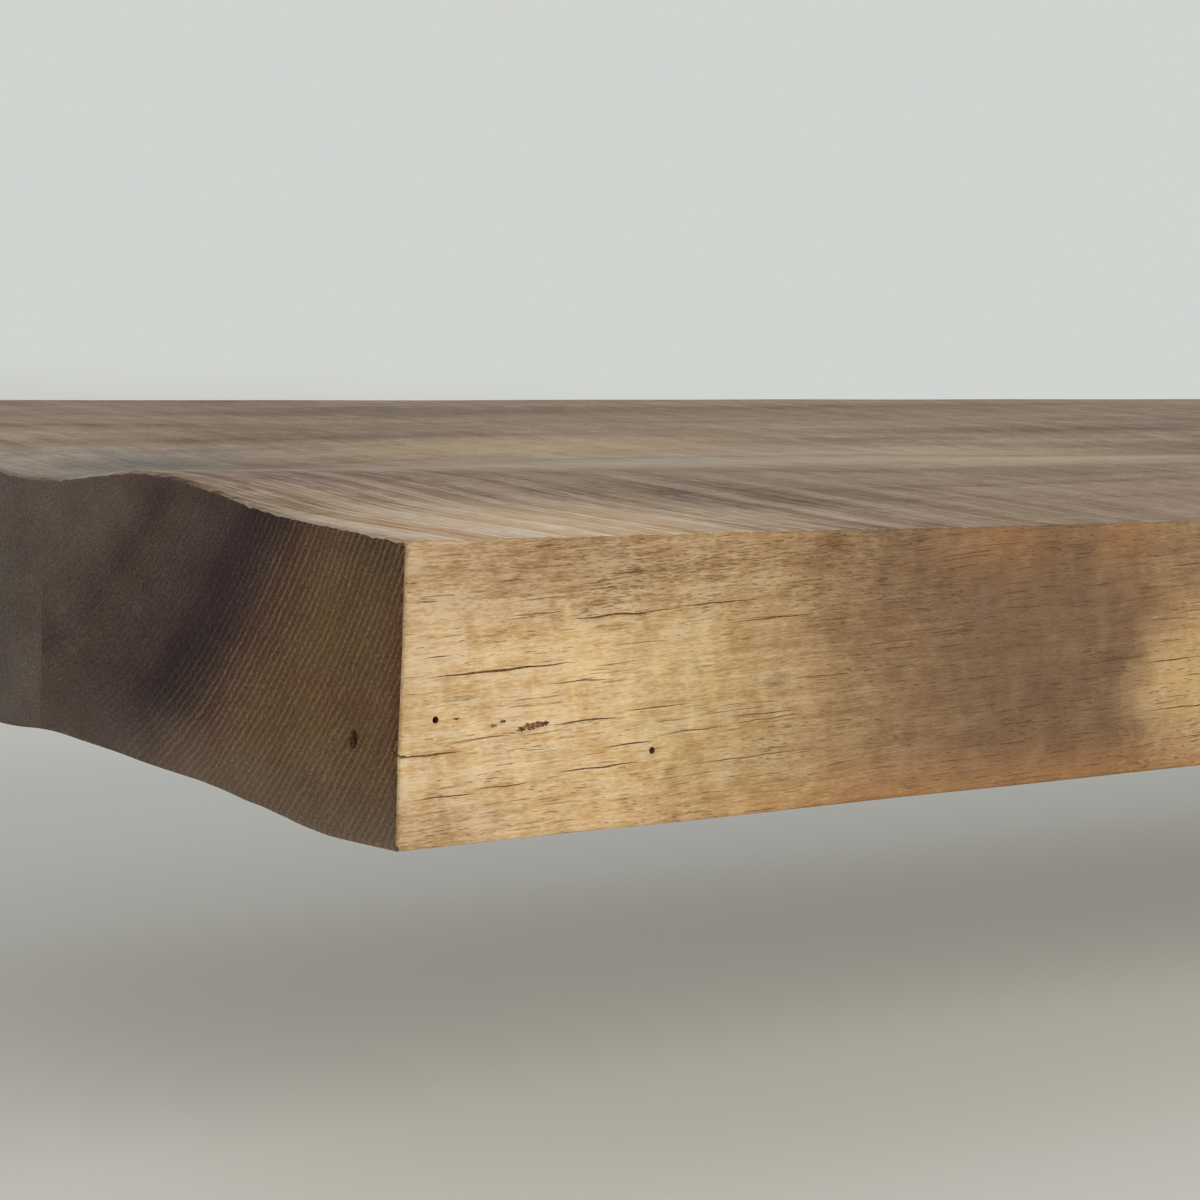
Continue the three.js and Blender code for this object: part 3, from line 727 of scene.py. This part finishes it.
def lock_bores():
    """Cutters for the inserts' stepped bores, which run up into the outer rods' bores."""
    seat, body, hole = 6.8, 4.8, 3.3
    seat_end, body_end, hole_end = 1.5, 10.5, THICKNESS / 2
    profile = [(0, -2 * PAST), (seat, -2 * PAST), (seat, seat_end), (body, seat_end), (body, body_end)]
    profile += [(hole, body_end), (hole, hole_end), (0, hole_end)]
    form = bmesh.new()
    for x in LOCK_PLACES:
        made = turned(form, profile, 40, BORED)
        bmesh.ops.rotate(form, verts=made, cent=(0, 0, 0), matrix=Matrix.Rotation(math.pi / 2, 3, "X"))
        bmesh.ops.translate(form, verts=made, vec=(x, -LOCK_FROM_WALL, -THICKNESS / 2))
    return form


def plate_recess():
    """The cutter for the plate's recess, which leaves play all round the plate."""
    play, corner = 1, 5
    deep = PLATE + play
    size = (PLATE_LENGTH + 2 * play, deep + PAST, PLATE_HEIGHT + 2 * play)
    form = block(size, (0, (PAST - deep) / 2, 0))
    corners = [e for e in form.edges if abs(e.verts[0].co.y - e.verts[1].co.y) > 1]
    bmesh.ops.bevel(form, geom=corners, offset=corner, affect="EDGES", segments=8, profile=0.5, material=-1)
    for face in form.faces:
        face.material_index = BORED
    return form


def check(start, end, level, width, rise, bend=0.25):
    """A drying check in the front edge: a thin wedge that tapers at both ends and follows the fibres."""
    form = bmesh.new()
    bmesh.ops.create_cube(form, size=1)
    lines = [e for e in form.edges if abs(e.verts[0].co.x - e.verts[1].co.x) > 0.5]
    cuts = max(6, int((end - start) / 1.6))
    bmesh.ops.subdivide_edges(form, edges=lines, cuts=cuts)
    for vert in form.verts:
        share = vert.co.x + 0.5
        inside = vert.co.y + 0.5
        side = vert.co.z * 2
        along = start + share * (end - start)
        open_share = math.sin(math.pi * min(max(share, 0.004), 0.996)) ** 0.6
        half = 0.5 * width * open_share * (0.7 + 0.6 * rough(along / 3, level, 20)) + 0.01
        wander = bend * (rough(along / 5, level, 40) - 0.5) * 2
        vert.co = (
            along,
            -0.5 + inside * (0.62 + front_bow(along) + 1.2 * width * open_share),
            level + rise * (along - start) + wander + side * half * (1.3 - inside),
        )
    place_on_front(form)
    return form


SEEN_CHECKS = [
    (4.5, 35, 2.7, 0.5),
    (-1, 13.5, -10.0, 0.46),
    (13, 23, -7.8, 0.34),
    (30, 45, -6.3, 0.46),
    (44.5, 60, -5.0, 0.34),
    (20.5, 32.5, 11.9, 0.3),
    (32, 56, 10.9, 0.46),
    (54, 74, 12.1, 0.36),
    (41, 52.5, -10.8, 0.36),
    (53, 68, -9.4, 0.3),
    (68, 86, -8.4, 0.28),
    (31, 50, -14.4, 0.36),
    (15, 27, -16.0, 0.34),
    (4.5, 16, -16.9, 0.34),
    (67, 88, 9.0, 0.32),
    (67, 84, -7.4, 0.28),
    (58, 92, -15.0, 0.26),
    (94, 112, 3.5, 0.26),
    (118, 139, -4.0, 0.26),
    (104, 121, 13.0, 0.24),
    (128, 150, 8.5, 0.24),
    (29.3, 41.5, 0.4, 0.32),
    (18, 24, 17.6, 0.3),
    (40, 50, 18.1, 0.34),
    (2.7, 7, 14.8, 0.3),
    (4.6, 10, 5.9, 0.3),
]


def place_on_front(form):
    """Moves a form from along, depth and level to its place on the front edge."""
    bmesh.ops.translate(form, verts=form.verts, vec=(-LENGTH / 2, -DEPTH - WALL_GAP, 0))


def gathered(forms, finish):
    """Puts separate forms into one, with all their faces in one finish slot."""
    whole = bmesh.new()
    for form in forms:
        mesh = bpy.data.meshes.new("part")
        form.to_mesh(mesh)
        form.free()
        whole.from_mesh(mesh)
        bpy.data.meshes.remove(mesh)
    for face in whole.faces:
        face.material_index = finish
    bmesh.ops.recalc_face_normals(whole, faces=whole.faces)
    return whole


def end_check(wide, point, width):
    """A short check in the left end, from its wide start to its point, each of them a depth and a level."""
    way = Vector((point[0] - wide[0], point[1] - wide[1]))
    aside = Vector((-way.y, way.x)).normalized() * width
    form = block((4, 1, 1), (0, 0, 0))
    for vert in form.verts:
        share = vert.co.z + 0.5
        place = Vector(wide) + way * share + aside * vert.co.y * (1.06 - share)
        vert.co = (vert.co.x - LENGTH / 2, place.x - DEPTH - WALL_GAP, place.y)
    return form


def front_checks():
    """The front stave's checks: those that the photograph shows, and more of their kind beyond them."""
    dice = random.Random(11)
    listed = list(SEEN_CHECKS)
    for row in range(-21, 22, 3):
        along = 165 + dice.uniform(0, 60)
        while along < LENGTH - 40:
            length = dice.uniform(9, 42)
            listed.append((along, along + length, row + dice.uniform(-0.9, 0.5), dice.uniform(0.25, 0.45)))
            along += length + dice.uniform(30, 170)
    forms = [check(start, end, level, width, 0.035) for start, end, level, width in listed]
    forms.append(end_check((103, -30), (103.4, -17.5), 0.45))
    forms.append(end_check((-1, -10.2), (3.4, -8.2), 0.4))
    return gathered(forms, HOLLOW)


def worm_hole(form, place, direction, radius, stretch=1.0, deep=5.0):
    """A bore that an insect left: a short round tunnel with a blunt end, its mouth a little ragged."""
    blunt = [(radius * 0.95, -deep), (radius * 0.5, -deep - 0.6), (0, -deep - 0.8)]
    made = turned(form, [(0, 2), (radius, 2), *blunt], 14, HOLLOW)
    for vert in made:
        vert.co.x *= 1 + 0.12 * (rough(vert.co.z * 3, place[0], place[1]) - 0.5)
        vert.co.z *= stretch
    way = Vector((0, 1, 0)).rotation_difference(Vector(direction)).to_matrix()
    bmesh.ops.rotate(form, verts=made, cent=(0, 0, 0), matrix=way)
    bmesh.ops.translate(form, verts=made, vec=place)


def front_holes():
    """Worm holes on the front stave: those that the photograph shows, and a few on the rest of the board."""
    form = bmesh.new()
    front = -DEPTH - WALL_GAP
    worm_hole(form, (-442.7, front, -4.1), (-0.15, -1, 0.1), 0.6)
    worm_hole(form, (-398.3, front, -12.0), (0.1, -1, -0.1), 0.62)
    worm_hole(form, (-450, -237.2, -8.9), (-1, -0.1, 0.1), 1.3, 1.3)
    # The rest: how many, from which to which corner they lie, which way they point, and their most radius
    dice = random.Random(4)
    groups = [
        (11, (-240, front, -19), (430, front, 19), (0.1, -1, 0.1), 0.75),
        (5, (-300, -225, 24), (420, -150, 24), (0.1, 0, 1), 0.7),
        (3, (LENGTH / 2, -235, -18), (LENGTH / 2, -145, 18), (1, 0, 0.1), 0.7),
    ]
    for count, low, high, direction, most in groups:
        for _ in range(count):
            place = [a if a == b else dice.uniform(a, b) for a, b in zip(low, high)]
            worm_hole(form, place, direction, dice.uniform(0.5, most))
    return form


def front_pits():
    """The small knotty pit in the front edge, and its shallow neighbours, gouged by overlapping blobs."""
    dice = random.Random(9)
    forms = []
    # Each blob has its place along, its level, its size and how deep it goes.
    knot = [(24.4, -6.7, 1.0, 0.8), (26.2, -6.4, 1.6, 0.8), (27.8, -6.2, 1.4, 0.8), (29.2, -6.0, 0.9, 0.8)]
    marks = [(11.4, -4.2, 0.6, 0.5), (18.8, -5.8, 0.8, 0.5), (20.6, -5.2, 0.7, 0.5)]
    for along, level, size, deep in knot + marks:
        form = bmesh.new()
        made = bmesh.ops.create_icosphere(form, subdivisions=3, radius=1)["verts"]
        for vert in made:
            vert.co *= 0.5 + 0.95 * rough(*(vert.co * 3.2 + Vector((along, 0, 0))))
        bmesh.ops.scale(form, verts=made, vec=(size, deep, 0.45 * size))
        bmesh.ops.translate(form, verts=made, vec=(along, 0.15 * dice.random() - 0.1, level))
        place_on_front(form)
        forms.append(gathered([form], HOLLOW))
    return forms


def sharpen(piece):
    """Keeps the edges of bores, recesses and checks crisp, and the rounded and scraped faces smooth."""
    form = bmesh.new()
    form.from_mesh(piece.data)
    for face in form.faces:
        face.smooth = True
    for line in form.edges:
        line.smooth = line.calc_face_angle(0) < math.radians(38)
    form.to_mesh(piece.data)
    form.free()


def place_piece(piece, body, node):
    """Smooths a piece's shading, puts it on the body that it moves with, and hides the CAD piece that it
    stands for.
    """
    sharpen(piece)
    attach(piece, body)
    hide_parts(node)


front_stave = build_stave("front_stave_scraped", 0, GLUE_JOINT, (270, 92, 34), 0.55, front_face, front_end)
rear_stave = build_stave("rear_stave_scraped", GLUE_JOINT, DEPTH, (300, 56, 30), 0, rear_face, rear_end)
for form in (rod_bores(), front_checks(), front_holes(), *front_pits()):
    carve(front_stave, form)
for form in (plate_recess(), rod_bores(), lock_bores()):
    carve(rear_stave, form)
for stave, node in ((front_stave, "front_stave"), (rear_stave, "rear_stave")):
    place_piece(stave, "shelf", node)


# Bracket and fittings


def powder_coat():
    """Black powder coating on steel: a fine orange peel about 1 mm across breaks up its soft shine."""
    material, tree, shader, point = start_material("black_powder_coat")
    peel = grain(tree, point, (0.9, 0.9, 0.9))
    cloud = grain(tree, point, (30, 30, 30))
    tone = add(tree, "Mix", {0: cloud, 6: colour("1A1B1D"), 7: colour("2E2F31")}, 2, data_type="RGBA")
    rough = add(tree, "MapRange", {0: cloud, 1: 0.3, 2: 0.7, 3: 0.42, 4: 0.56})
    cover(tree, shader, tone, rough, 0.00006, peel)
    return material


def turned_metal(name, light_code, dark_code, smooth, dull, mark_size):
    """A metal as turned and plated: fine marks run round it, and dull clouds break up its shine."""
    material, tree, shader, point = start_material(name)
    marks = grain(tree, point, mark_size)
    cloud = grain(tree, point, (4, 4, 4), 3)
    cloud = add(tree, "MapRange", {0: cloud, 1: 0.3, 2: 0.7})
    tone = add(tree, "Mix", {0: cloud, 6: colour(light_code), 7: colour(dark_code)}, 2, data_type="RGBA")
    rough = add(tree, "MapRange", {0: cloud, 3: smooth, 4: dull})
    cover(tree, shader, tone, rough, 0.00003, marks)
    shader.inputs["Metallic"].default_value = 1
    return material


def moulded_nylon():
    """Grey moulded nylon: waxy and slightly cloudy, with the fine texture of a spark-eroded mould."""
    material, tree, shader, point = start_material("grey_moulded_nylon")
    texture = grain(tree, point, (0.35, 0.35, 0.35))
    cloud = grain(tree, point, (6, 6, 6))
    tone = add(tree, "Mix", {0: cloud, 6: colour("8A8E92"), 7: colour("A8ACB0")}, 2, data_type="RGBA")
    rough = add(tree, "MapRange", {0: texture, 1: 0.3, 2: 0.7, 3: 0.46, 4: 0.6})
    cover(tree, shader, tone, rough, 0.00004, texture)
    shader.inputs["IOR"].default_value = 1.53
    return material


def thread_ridge(form, core, crest, pitch, start, end):
    """A thread's ridge, wound round the Y axis from start to end, with closed ends."""
    steps = 20
    flank, land, root = 0.4 * pitch, 0.07 * pitch, core - 0.15
    before = len(form.verts)
    profile = [(root, -flank), (crest, -land), (crest, land), (root, flank)]
    corners = [form.verts.new((radius, start + along, 0)) for radius, along in profile]
    lines = [form.edges.new(pair) for pair in zip(corners, corners[1:] + corners[:1])]
    count = int((end - start) / pitch * steps)
    bmesh.ops.spin(
        form,
        geom=corners + lines,
        cent=(0, 0, 0),
        axis=(0, 1, 0),
        dvec=(0, pitch / steps, 0),
        angle=2 * math.pi * count / steps,
        steps=count,
        use_merge=False,
    )
    bmesh.ops.holes_fill(form, edges=[line for line in form.edges if line.is_boundary], sides=4)
    form.verts.ensure_lookup_table()
    return form.verts[before:]


def wall_plate():
    """The steel bar: its corners rounded and its rims rubbed down, drilled for the rods and countersunk."""
    corner, rim = 4, 0.5
    form = block((PLATE_LENGTH, PLATE, PLATE_HEIGHT), (0, -PLATE / 2, 0))
    corners = [e for e in form.edges if abs(e.verts[0].co.y - e.verts[1].co.y) > 1]
    bmesh.ops.bevel(form, geom=corners, offset=corner, affect="EDGES", segments=8, profile=0.5, material=-1)
    rims = [e for e in form.edges if e.calc_face_angle() > 1]
    bmesh.ops.bevel(form, geom=rims, offset=rim, affect="EDGES", segments=3, profile=0.5, material=-1)
    plate = as_object(form, "wall_plate_coated", coat)
    rod_hole, screw_hole, mouth, past = ROD + 0.3, 2.8, 5.3, 2 * PAST
    land = PLATE - 0.6
    cone = land - (mouth - screw_hole)
    holes = bmesh.new()
    profile = [(0, past), (rod_hole, past), (rod_hole, -PLATE - past), (0, -PLATE - past)]
    for x in ROD_PLACES:
        bmesh.ops.translate(holes, verts=turned(holes, profile, 48), vec=(x, 0, 0))
    profile = [(0, past), (screw_hole, past), (screw_hole, -cone), (mouth, -land)]
    profile += [(mouth, -PLATE - past), (0, -PLATE - past)]
    for x in SCREW_PLACES:
        bmesh.ops.translate(holes, verts=turned(holes, profile, 40), vec=(x, 0, 0))
    carve(plate, holes)
    return plate


def support_rod(name, x, turn):
    """A rod with the rippled bead that welds it to the plate, and a chamfered tip that finds the bore."""
    bead, rim, chamfer = 3.5, 0.3, 1.5
    profile = [(0, 0), (ROD - rim, 0), (ROD, -rim), (ROD, -PLATE)]
    for i in range(9):
        arc = math.pi / 2 * i / 8
        profile.append((ROD + bead * math.cos(arc), -PLATE - bead * math.sin(arc)))
    profile += [(ROD, -ROD_TIP * share) for share in (0.3, 0.6)]
    profile += [(ROD, -ROD_TIP + chamfer), (ROD - chamfer, -ROD_TIP), (0, -ROD_TIP)]
    form = bmesh.new()
    turned(form, profile, 112)
    for vert in form.verts:
        radius = math.hypot(vert.co.x, vert.co.z)
        if radius > ROD + 0.05 and vert.co.y < -PLATE + 0.1:
            angle = math.atan2(vert.co.z, vert.co.x) + turn
            low = 0.16 * abs(math.cos(8 * angle + 0.9 * vert.co.y)) + 0.1 * rough(angle * 2, vert.co.y, x)
            share = (ROD + (radius - ROD) * (1 - low)) / radius
            vert.co.x *= share
            vert.co.z *= share
    bmesh.ops.translate(form, verts=form.verts, vec=(x, 0, 0))
    return as_object(form, name, coat)


def wall_screw(name, x):
    """A countersunk wood screw: cross recess, plain shank under the head, and a coarse thread below it."""
    head, land, shank, core, crest, pitch = 5, 0.4, 2.35, 1.75, 2.45, 2.6
    length = SCREW_TIP - SCREW_HEAD
    neck = land + head - shank
    thread_start = length * 0.33
    point = length - 7
    profile = [(0, 0), (head - 0.3, 0), (head, 0.25), (head, land), (shank, neck), (shank, thread_start)]
    profile += [(core, thread_start + 1.5), (core, point), (0.25, length - 0.2), (0, length)]
    form = bmesh.new()
    turned(form, profile, 32)
    for vert in thread_ridge(form, core, crest, pitch, thread_start + 1, length - 3.5):
        to_tip = (length + 0.8 - vert.co.y) / 9
        from_start = 0.7 + (vert.co.y - thread_start + 1) / 12
        share = min(1, max(0.3, to_tip)) * min(1, from_start)
        vert.co.x *= share
        vert.co.z *= share
    bmesh.ops.recalc_face_normals(form, faces=form.faces)
    bmesh.ops.translate(form, verts=form.verts, vec=(x, SCREW_HEAD, 0))
    screw = as_object(form, name, zinc)
    arm, wide, deep = 5, 1.1, 2
    for size in ((arm, 2 * deep, wide), (wide, 2 * deep, arm)):
        recess = block(size, (0, 0, 0))
        inner = [v for v in recess.verts if v.co.y > 0]
        bmesh.ops.scale(recess, verts=inner, vec=(0.45, 1, 0.45))
        bmesh.ops.translate(recess, verts=recess.verts, vec=(x, SCREW_HEAD, 0))
        carve(screw, recess)
    return screw


def wall_plug(name, x):
    """A nylon wall plug: a plain collar, five barbs, and a tail slit in two planes so that it can spread."""
    outer, inner, collar, pitch, barb, barbs = 4, 2.8, 6, 7, 0.6, 5
    length = PLUG_TAIL - PLUG_MOUTH
    profile = [(inner, 0), (outer - 0.3, 0), (outer, 0.3), (outer, collar)]
    for i in range(barbs):
        start = collar + pitch * i
        profile += [(outer - barb, start + 0.3), (outer - barb, start + pitch / 2)]
        profile += [(outer, start + pitch - 0.8), (outer, start + pitch - 0.3)]
    profile += [(outer - barb, collar + pitch * barbs + 0.3), (outer - barb, length - 1)]
    profile += [(outer - 1, length), (inner, length)]
    form = bmesh.new()
    turned(form, profile, 32, closed=True)
    bmesh.ops.translate(form, verts=form.verts, vec=(x, PLUG_MOUTH, 0))
    plug = as_object(form, name, nylon)
    for wide, tall, slit in ((1.2, 12, length - 13), (12, 0.9, length / 2)):
        middle = PLUG_TAIL + PAST - (slit + PAST) / 2
        carve(plug, block((wide, slit + PAST, tall), (x, middle, 0)))
    return plug


def stood_up(form, x, level):
    """Turns a fitting that was spun about Y to stand upwards, from this level, in the board's underside."""
    bmesh.ops.rotate(form, verts=form.verts, cent=(0, 0, 0), matrix=Matrix.Rotation(math.pi / 2, 3, "X"))
    bmesh.ops.translate(form, verts=form.verts, vec=(x, -LOCK_FROM_WALL, level))


def lock_insert(name, x):
    """A brass threaded insert: a flange with a driving slot, three gripping ridges, and a tapped hole."""
    flange, thick, body, root, hole, rim = 6.5, 1.2, 4.5, 3.85, 3.3, 0.3
    pitch, length = 3, INSERT_TOP + THICKNESS / 2
    profile = [(hole + rim, 0), (flange - rim, 0), (flange, rim), (flange, thick), (root, thick)]
    for i in range(3):
        start = thick + pitch * i
        profile += [(root, start + 0.6), (body, start + 1.5), (body, start + 1.8), (root, start + 2.7)]
    profile += [(root, length), (hole + rim, length), (hole, length - rim), (hole, rim)]
    form = bmesh.new()
    turned(form, profile, 48, closed=True)
    stood_up(form, x, -THICKNESS / 2)
    insert = as_object(form, name, brass)
    carve(insert, block((4 * flange, 1.3, 1.6), (x, -LOCK_FROM_WALL, -THICKNESS / 2)))
    return insert


def lock_screw(name, x):
    """A blacked set screw with a hexagon socket below, and a flat point that bears on the rod."""
    core, crest, pitch, point, socket = 2.6, 3.0, 1.0, 1.5, 1.75
    length = LOCK_TOP - LOCK_HEAD
    profile = [(0, 0), (core - 0.3, 0), (core, 0.4), (core, length - 1.5), (point, length), (0, length)]
    form = bmesh.new()
    turned(form, profile, 40)
    thread_ridge(form, core, crest, pitch, 0.9, length - 2.1)
    bmesh.ops.recalc_face_normals(form, faces=form.faces)
    stood_up(form, x, LOCK_HEAD)
    screw = as_object(form, name, blacked)
    hexagon = bmesh.new()
    bmesh.ops.create_cone(
        hexagon, cap_ends=True, segments=6, radius1=socket, radius2=socket, depth=7
    )
    bmesh.ops.translate(hexagon, verts=hexagon.verts, vec=(x, -LOCK_FROM_WALL, LOCK_HEAD))
    carve(screw, hexagon)
    return screw


coat = powder_coat()
zinc = turned_metal("zinc_plated_steel", "D2D0C8", "B9B6AA", 0.26, 0.4, (0.5, 0.12, 0.5))
brass = turned_metal("turned_brass", "D8B468", "B8924A", 0.22, 0.38, (0.5, 0.5, 0.12))
blacked = turned_metal("blacked_steel", "3A3A3C", "2A2A2B", 0.35, 0.5, (0.3, 0.3, 0.3))
nylon = moulded_nylon()

place_piece(wall_plate(), "bracket", "wall_plate")
for i, x in enumerate(ROD_PLACES, 1):
    rod = support_rod(f"support_rod_{i}_welded", x, 0.4 * i)
    place_piece(rod, "bracket", f"support_rod_{i}")
for i, x in enumerate(SCREW_PLACES, 1):
    place_piece(wall_screw(f"wall_screw_{i}_threaded", x), "bracket", f"wall_screw_{i}")
    place_piece(wall_plug(f"wall_plug_{i}_barbed", x), "bracket", f"wall_plug_{i}")
for side, x in zip(("left", "right"), LOCK_PLACES):
    place_piece(lock_insert(f"lock_insert_{side}_slotted", x), "shelf", f"lock_insert_{side}")
    place_piece(lock_screw(f"lock_screw_{side}_threaded", x), "shelf", f"lock_screw_{side}")


# Stage: a pale floor below the shelf, which fades into the pale background far away

BACKGROUND = "D1D4D0"
FLOOR_LEVEL = -100


def seen_directly(tree):
    """1 for the camera, for mirrored rays and for rays through glass, and 0 for gathered light."""
    rays = add(tree, "LightPath").node.outputs
    seen = add(tree, "Math", {0: rays["Is Camera Ray"], 1: rays["Is Glossy Ray"]}, operation="ADD")
    return add(tree, "Math", {0: seen, 1: rays["Is Transmission Ray"]}, operation="ADD")


def floor_paint():
    """Matt pale paint, which mixes into the background's tone between 0.7 and 2 m from the shelf."""
    material, tree, shader, point = start_material("pale_matt_floor")
    shader.inputs["Base Color"].default_value = colour("F0F1EC")
    shader.inputs["Roughness"].default_value = 0.9
    shader.inputs["Specular IOR Level"].default_value = 0.2
    distance = add(tree, "VectorMath", {0: point}, "Value", operation="LENGTH")
    far = add(tree, "MapRange", {0: distance, 1: 700, 2: 2000, 3: 0.15}, interpolation_type="SMOOTHSTEP")
    far = add(tree, "Math", {0: far, 1: seen_directly(tree)}, operation="MULTIPLY")
    glow = add(tree, "Emission", {"Color": colour(BACKGROUND)})
    mixed = add(tree, "MixShader", {0: far, 1: shader.outputs[0], 2: glow})
    output = next(node for node in tree.nodes if node.bl_idname == "ShaderNodeOutputMaterial")
    tree.links.new(mixed, output.inputs["Surface"])
    return material


form = bmesh.new()
bmesh.ops.create_circle(form, cap_ends=True, segments=96, radius=12000)
bmesh.ops.translate(form, verts=form.verts, vec=(0, 0, FLOOR_LEVEL))
as_object(form, "floor", floor_paint())

world = bpy.data.worlds.new("pale_studio")
bpy.context.scene.world = world
world.use_nodes = True
tree = world.node_tree
tree.nodes.clear()
soft = add(tree, "Background", {"Color": colour("F4F4F2"), "Strength": 0.5})
shown = add(tree, "Background", {"Color": colour(BACKGROUND)})
either = add(tree, "MixShader", {0: seen_directly(tree), 1: soft, 2: shown})
add(tree, "OutputWorld", {"Surface": either})


def soft_lamp(name, azimuth, elevation, distance, size, power, tint):
    """A square lamp that faces the shelf. Azimuth 0 is straight in front of it, and 90 at its right end."""
    lamp = bpy.data.objects.new(name, bpy.data.lights.new(name, "AREA"))
    bpy.context.collection.objects.link(lamp)
    lamp.data.size = size
    lamp.data.energy = power
    lamp.data.color = colour(tint)[:3]
    turn, rise = math.radians(azimuth), math.radians(elevation)
    away = Vector((math.sin(turn) * math.cos(rise), -math.cos(turn) * math.cos(rise), math.sin(rise)))
    lamp.location = away * distance + Vector((-0.2, -0.12, 0))
    lamp.rotation_euler = (-away).to_track_quat("-Z", "Y").to_euler()
    lamp.visible_camera = False


soft_lamp("key", 27, 19, 2.6, 1.5, 46, "FFF8EE")

bpy.context.scene.view_settings.view_transform = "Standard"
